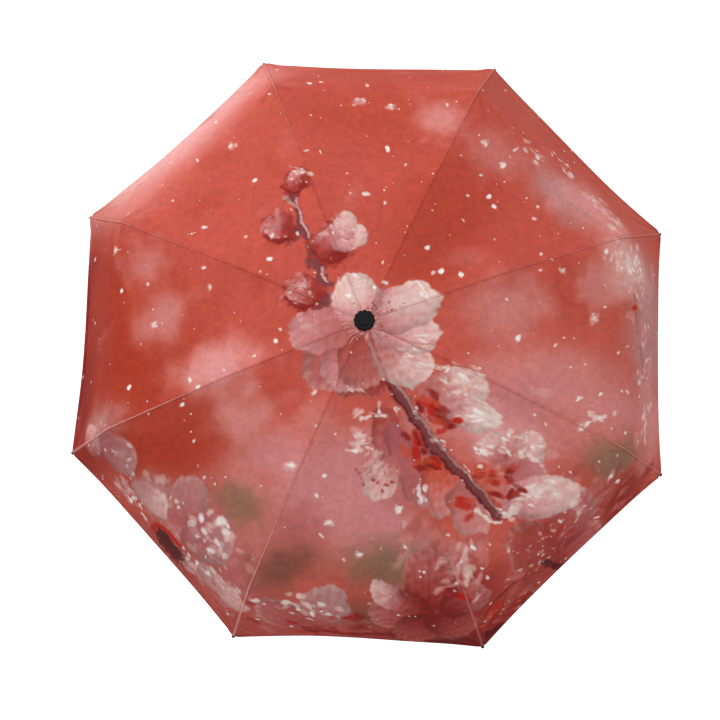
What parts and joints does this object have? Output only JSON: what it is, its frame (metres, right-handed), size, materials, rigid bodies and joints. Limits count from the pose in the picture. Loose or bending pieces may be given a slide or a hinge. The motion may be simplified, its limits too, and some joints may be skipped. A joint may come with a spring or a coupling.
{
  "type": "folding umbrella",
  "caption": "Open compact umbrella: a telescoping shaft on a round handle, folding metal ribs under a shallow printed fabric dome, and a scalloped cap at the crown.",
  "frame": {"origin": "middle of the handle's flat bottom face, on the shaft axis", "axes": "+Z along the shaft to the cap; ribs lie at 22.5 degrees from +X and every 45 degrees"},
  "size_m": [0.8902, 0.8902, 0.5738],
  "materials": {
    "canopy_fabric": "printed woven polyester, soft sheen",
    "rib_steel": "bright plated steel",
    "black_steel": "black coated wire",
    "shaft_steel": "bright plated tube",
    "soft_grip": "matte soft-touch black",
    "black_plastic": "satin black moulded plastic"
  },
  "bodies": {
    "handle": {"handle_grip": "soft_grip", "handle_end_cap": "black_plastic", "lower_tube": "shaft_steel"},
    "middle_tube": {"middle_tube": "shaft_steel"},
    "top_tube": {"top_tube": "shaft_steel", "crown_hub": "black_plastic", "top_cap": "black_plastic"},
    "runner": {"runner": "black_plastic"},
    "button": {"push_button": "black_plastic"},
    "inner_rib_1": {"inner_rib_1": "rib_steel", "canopy_inner_1": "canopy_fabric"},
    "middle_rib_1": {"middle_rib_1": "rib_steel", "canopy_outer_1": "canopy_fabric"},
    "outer_rib_1": {"outer_rib_1": "black_steel"},
    "stretcher_1": {"stretcher_1": "rib_steel"},
    "inner_rib_2": {"inner_rib_2": "rib_steel", "canopy_inner_2": "canopy_fabric"},
    "middle_rib_2": {"middle_rib_2": "rib_steel", "canopy_outer_2": "canopy_fabric"},
    "outer_rib_2": {"outer_rib_2": "black_steel"},
    "stretcher_2": {"stretcher_2": "rib_steel"},
    "inner_rib_3": {"inner_rib_3": "rib_steel", "canopy_inner_3": "canopy_fabric"},
    "middle_rib_3": {"middle_rib_3": "rib_steel", "canopy_outer_3": "canopy_fabric"},
    "outer_rib_3": {"outer_rib_3": "black_steel"},
    "stretcher_3": {"stretcher_3": "rib_steel"},
    "inner_rib_4": {"inner_rib_4": "rib_steel", "canopy_inner_4": "canopy_fabric"},
    "middle_rib_4": {"middle_rib_4": "rib_steel", "canopy_outer_4": "canopy_fabric"},
    "outer_rib_4": {"outer_rib_4": "black_steel"},
    "stretcher_4": {"stretcher_4": "rib_steel"},
    "inner_rib_5": {"inner_rib_5": "rib_steel", "canopy_inner_5": "canopy_fabric"},
    "middle_rib_5": {"middle_rib_5": "rib_steel", "canopy_outer_5": "canopy_fabric"},
    "outer_rib_5": {"outer_rib_5": "black_steel"},
    "stretcher_5": {"stretcher_5": "rib_steel"},
    "inner_rib_6": {"inner_rib_6": "rib_steel", "canopy_inner_6": "canopy_fabric"},
    "middle_rib_6": {"middle_rib_6": "rib_steel", "canopy_outer_6": "canopy_fabric"},
    "outer_rib_6": {"outer_rib_6": "black_steel"},
    "stretcher_6": {"stretcher_6": "rib_steel"},
    "inner_rib_7": {"inner_rib_7": "rib_steel", "canopy_inner_7": "canopy_fabric"},
    "middle_rib_7": {"middle_rib_7": "rib_steel", "canopy_outer_7": "canopy_fabric"},
    "outer_rib_7": {"outer_rib_7": "black_steel"},
    "stretcher_7": {"stretcher_7": "rib_steel"},
    "inner_rib_8": {"inner_rib_8": "rib_steel", "canopy_inner_8": "canopy_fabric"},
    "middle_rib_8": {"middle_rib_8": "rib_steel", "canopy_outer_8": "canopy_fabric"},
    "outer_rib_8": {"outer_rib_8": "black_steel"},
    "stretcher_8": {"stretcher_8": "rib_steel"}
  },
  "joints": [
    {"name": "middle_tube_slide", "type": "slide", "parent": "handle", "child": "middle_tube", "axis": [0, 0, 1], "range_m": [-0.1365, 0]},
    {"name": "top_tube_slide", "type": "slide", "parent": "middle_tube", "child": "top_tube", "axis": [0, 0, 1], "range_m": [-0.1365, 0]},
    {"name": "runner_slide", "type": "slide", "parent": "top_tube", "child": "runner", "axis": [0, 0, 1], "range_m": [-0.0772, 0]},
    {"name": "button_press", "type": "slide", "parent": "handle", "child": "button", "axis": [0, 1, 0], "range_m": [0, 0.0025], "stiffness_N_per_m": 500},
    {"name": "inner_rib_1_hinge", "type": "hinge", "parent": "top_tube", "child": "inner_rib_1", "pos_m": [0.00924, 0.00383, 0.56], "axis": [-0.3827, 0.9239, 0], "range_deg": [0, 78.2], "deforming": ["canopy_inner_1"]},
    {"name": "middle_rib_1_hinge", "type": "hinge", "parent": "inner_rib_1", "child": "middle_rib_1", "pos_m": [0.18939, 0.07845, 0.52562], "axis": [-0.3827, 0.9239, 0], "range_deg": [-187.7, 0], "deforming": ["canopy_outer_1"]},
    {"name": "outer_rib_1_hinge", "type": "hinge", "parent": "middle_rib_1", "child": "outer_rib_1", "pos_m": [0.35672, 0.14776, 0.45609], "axis": [-0.3827, 0.9239, 0], "range_deg": [0, 146.5]},
    {"name": "stretcher_1_hinge", "type": "hinge", "parent": "runner", "child": "stretcher_1", "pos_m": [0.01109, 0.00459, 0.44228], "axis": [-0.3827, 0.9239, 0], "range_deg": [-32.37, 0]},
    {"name": "inner_rib_2_hinge", "type": "hinge", "parent": "top_tube", "child": "inner_rib_2", "pos_m": [0.00383, 0.00924, 0.56], "axis": [-0.9239, 0.3827, 0], "range_deg": [0, 78.2], "deforming": ["canopy_inner_2"]},
    {"name": "middle_rib_2_hinge", "type": "hinge", "parent": "inner_rib_2", "child": "middle_rib_2", "pos_m": [0.07845, 0.18939, 0.52562], "axis": [-0.9239, 0.3827, 0], "range_deg": [-187.7, 0], "deforming": ["canopy_outer_2"]},
    {"name": "outer_rib_2_hinge", "type": "hinge", "parent": "middle_rib_2", "child": "outer_rib_2", "pos_m": [0.14776, 0.35672, 0.45609], "axis": [-0.9239, 0.3827, 0], "range_deg": [0, 146.5]},
    {"name": "stretcher_2_hinge", "type": "hinge", "parent": "runner", "child": "stretcher_2", "pos_m": [0.00459, 0.01109, 0.44228], "axis": [-0.9239, 0.3827, 0], "range_deg": [-32.37, 0]},
    {"name": "inner_rib_3_hinge", "type": "hinge", "parent": "top_tube", "child": "inner_rib_3", "pos_m": [-0.00383, 0.00924, 0.56], "axis": [-0.9239, -0.3827, 0], "range_deg": [0, 78.2], "deforming": ["canopy_inner_3"]},
    {"name": "middle_rib_3_hinge", "type": "hinge", "parent": "inner_rib_3", "child": "middle_rib_3", "pos_m": [-0.07845, 0.18939, 0.52562], "axis": [-0.9239, -0.3827, 0], "range_deg": [-187.7, 0], "deforming": ["canopy_outer_3"]},
    {"name": "outer_rib_3_hinge", "type": "hinge", "parent": "middle_rib_3", "child": "outer_rib_3", "pos_m": [-0.14776, 0.35672, 0.45609], "axis": [-0.9239, -0.3827, 0], "range_deg": [0, 146.5]},
    {"name": "stretcher_3_hinge", "type": "hinge", "parent": "runner", "child": "stretcher_3", "pos_m": [-0.00459, 0.01109, 0.44228], "axis": [-0.9239, -0.3827, 0], "range_deg": [-32.37, 0]},
    {"name": "inner_rib_4_hinge", "type": "hinge", "parent": "top_tube", "child": "inner_rib_4", "pos_m": [-0.00924, 0.00383, 0.56], "axis": [-0.3827, -0.9239, 0], "range_deg": [0, 78.2], "deforming": ["canopy_inner_4"]},
    {"name": "middle_rib_4_hinge", "type": "hinge", "parent": "inner_rib_4", "child": "middle_rib_4", "pos_m": [-0.18939, 0.07845, 0.52562], "axis": [-0.3827, -0.9239, 0], "range_deg": [-187.7, 0], "deforming": ["canopy_outer_4"]},
    {"name": "outer_rib_4_hinge", "type": "hinge", "parent": "middle_rib_4", "child": "outer_rib_4", "pos_m": [-0.35672, 0.14776, 0.45609], "axis": [-0.3827, -0.9239, 0], "range_deg": [0, 146.5]},
    {"name": "stretcher_4_hinge", "type": "hinge", "parent": "runner", "child": "stretcher_4", "pos_m": [-0.01109, 0.00459, 0.44228], "axis": [-0.3827, -0.9239, 0], "range_deg": [-32.37, 0]},
    {"name": "inner_rib_5_hinge", "type": "hinge", "parent": "top_tube", "child": "inner_rib_5", "pos_m": [-0.00924, -0.00383, 0.56], "axis": [0.3827, -0.9239, 0], "range_deg": [0, 78.2], "deforming": ["canopy_inner_5"]},
    {"name": "middle_rib_5_hinge", "type": "hinge", "parent": "inner_rib_5", "child": "middle_rib_5", "pos_m": [-0.18939, -0.07845, 0.52562], "axis": [0.3827, -0.9239, 0], "range_deg": [-187.7, 0], "deforming": ["canopy_outer_5"]},
    {"name": "outer_rib_5_hinge", "type": "hinge", "parent": "middle_rib_5", "child": "outer_rib_5", "pos_m": [-0.35672, -0.14776, 0.45609], "axis": [0.3827, -0.9239, 0], "range_deg": [0, 146.5]},
    {"name": "stretcher_5_hinge", "type": "hinge", "parent": "runner", "child": "stretcher_5", "pos_m": [-0.01109, -0.00459, 0.44228], "axis": [0.3827, -0.9239, 0], "range_deg": [-32.37, 0]},
    {"name": "inner_rib_6_hinge", "type": "hinge", "parent": "top_tube", "child": "inner_rib_6", "pos_m": [-0.00383, -0.00924, 0.56], "axis": [0.9239, -0.3827, 0], "range_deg": [0, 78.2], "deforming": ["canopy_inner_6"]},
    {"name": "middle_rib_6_hinge", "type": "hinge", "parent": "inner_rib_6", "child": "middle_rib_6", "pos_m": [-0.07845, -0.18939, 0.52562], "axis": [0.9239, -0.3827, 0], "range_deg": [-187.7, 0], "deforming": ["canopy_outer_6"]},
    {"name": "outer_rib_6_hinge", "type": "hinge", "parent": "middle_rib_6", "child": "outer_rib_6", "pos_m": [-0.14776, -0.35672, 0.45609], "axis": [0.9239, -0.3827, 0], "range_deg": [0, 146.5]},
    {"name": "stretcher_6_hinge", "type": "hinge", "parent": "runner", "child": "stretcher_6", "pos_m": [-0.00459, -0.01109, 0.44228], "axis": [0.9239, -0.3827, 0], "range_deg": [-32.37, 0]},
    {"name": "inner_rib_7_hinge", "type": "hinge", "parent": "top_tube", "child": "inner_rib_7", "pos_m": [0.00383, -0.00924, 0.56], "axis": [0.9239, 0.3827, 0], "range_deg": [0, 78.2], "deforming": ["canopy_inner_7"]},
    {"name": "middle_rib_7_hinge", "type": "hinge", "parent": "inner_rib_7", "child": "middle_rib_7", "pos_m": [0.07845, -0.18939, 0.52562], "axis": [0.9239, 0.3827, 0], "range_deg": [-187.7, 0], "deforming": ["canopy_outer_7"]},
    {"name": "outer_rib_7_hinge", "type": "hinge", "parent": "middle_rib_7", "child": "outer_rib_7", "pos_m": [0.14776, -0.35672, 0.45609], "axis": [0.9239, 0.3827, 0], "range_deg": [0, 146.5]},
    {"name": "stretcher_7_hinge", "type": "hinge", "parent": "runner", "child": "stretcher_7", "pos_m": [0.00459, -0.01109, 0.44228], "axis": [0.9239, 0.3827, 0], "range_deg": [-32.37, 0]},
    {"name": "inner_rib_8_hinge", "type": "hinge", "parent": "top_tube", "child": "inner_rib_8", "pos_m": [0.00924, -0.00383, 0.56], "axis": [0.3827, 0.9239, 0], "range_deg": [0, 78.2], "deforming": ["canopy_inner_8"]},
    {"name": "middle_rib_8_hinge", "type": "hinge", "parent": "inner_rib_8", "child": "middle_rib_8", "pos_m": [0.18939, -0.07845, 0.52562], "axis": [0.3827, 0.9239, 0], "range_deg": [-187.7, 0], "deforming": ["canopy_outer_8"]},
    {"name": "outer_rib_8_hinge", "type": "hinge", "parent": "middle_rib_8", "child": "outer_rib_8", "pos_m": [0.35672, -0.14776, 0.45609], "axis": [0.3827, 0.9239, 0], "range_deg": [0, 146.5]},
    {"name": "stretcher_8_hinge", "type": "hinge", "parent": "runner", "child": "stretcher_8", "pos_m": [0.01109, -0.00459, 0.44228], "axis": [0.3827, 0.9239, 0], "range_deg": [-32.37, 0]}
  ],
  "couplings": [
    {"joint": "inner_rib_1_hinge", "follows": "runner_slide", "rad_per_m": -17.634},
    {"joint": "middle_rib_1_hinge", "follows": "runner_slide", "rad_per_m": 42.39},
    {"joint": "outer_rib_1_hinge", "follows": "runner_slide", "rad_per_m": -33.075},
    {"joint": "stretcher_1_hinge", "follows": "runner_slide", "rad_per_m": 7.2739},
    {"joint": "inner_rib_2_hinge", "follows": "runner_slide", "rad_per_m": -17.634},
    {"joint": "middle_rib_2_hinge", "follows": "runner_slide", "rad_per_m": 42.39},
    {"joint": "outer_rib_2_hinge", "follows": "runner_slide", "rad_per_m": -33.075},
    {"joint": "stretcher_2_hinge", "follows": "runner_slide", "rad_per_m": 7.2739},
    {"joint": "inner_rib_3_hinge", "follows": "runner_slide", "rad_per_m": -17.634},
    {"joint": "middle_rib_3_hinge", "follows": "runner_slide", "rad_per_m": 42.39},
    {"joint": "outer_rib_3_hinge", "follows": "runner_slide", "rad_per_m": -33.075},
    {"joint": "stretcher_3_hinge", "follows": "runner_slide", "rad_per_m": 7.2739},
    {"joint": "inner_rib_4_hinge", "follows": "runner_slide", "rad_per_m": -17.634},
    {"joint": "middle_rib_4_hinge", "follows": "runner_slide", "rad_per_m": 42.39},
    {"joint": "outer_rib_4_hinge", "follows": "runner_slide", "rad_per_m": -33.075},
    {"joint": "stretcher_4_hinge", "follows": "runner_slide", "rad_per_m": 7.2739},
    {"joint": "inner_rib_5_hinge", "follows": "runner_slide", "rad_per_m": -17.634},
    {"joint": "middle_rib_5_hinge", "follows": "runner_slide", "rad_per_m": 42.39},
    {"joint": "outer_rib_5_hinge", "follows": "runner_slide", "rad_per_m": -33.075},
    {"joint": "stretcher_5_hinge", "follows": "runner_slide", "rad_per_m": 7.2739},
    {"joint": "inner_rib_6_hinge", "follows": "runner_slide", "rad_per_m": -17.634},
    {"joint": "middle_rib_6_hinge", "follows": "runner_slide", "rad_per_m": 42.39},
    {"joint": "outer_rib_6_hinge", "follows": "runner_slide", "rad_per_m": -33.075},
    {"joint": "stretcher_6_hinge", "follows": "runner_slide", "rad_per_m": 7.2739},
    {"joint": "inner_rib_7_hinge", "follows": "runner_slide", "rad_per_m": -17.634},
    {"joint": "middle_rib_7_hinge", "follows": "runner_slide", "rad_per_m": 42.39},
    {"joint": "outer_rib_7_hinge", "follows": "runner_slide", "rad_per_m": -33.075},
    {"joint": "stretcher_7_hinge", "follows": "runner_slide", "rad_per_m": 7.2739},
    {"joint": "inner_rib_8_hinge", "follows": "runner_slide", "rad_per_m": -17.634},
    {"joint": "middle_rib_8_hinge", "follows": "runner_slide", "rad_per_m": 42.39},
    {"joint": "outer_rib_8_hinge", "follows": "runner_slide", "rad_per_m": -33.075},
    {"joint": "stretcher_8_hinge", "follows": "runner_slide", "rad_per_m": 7.2739}
  ]
}
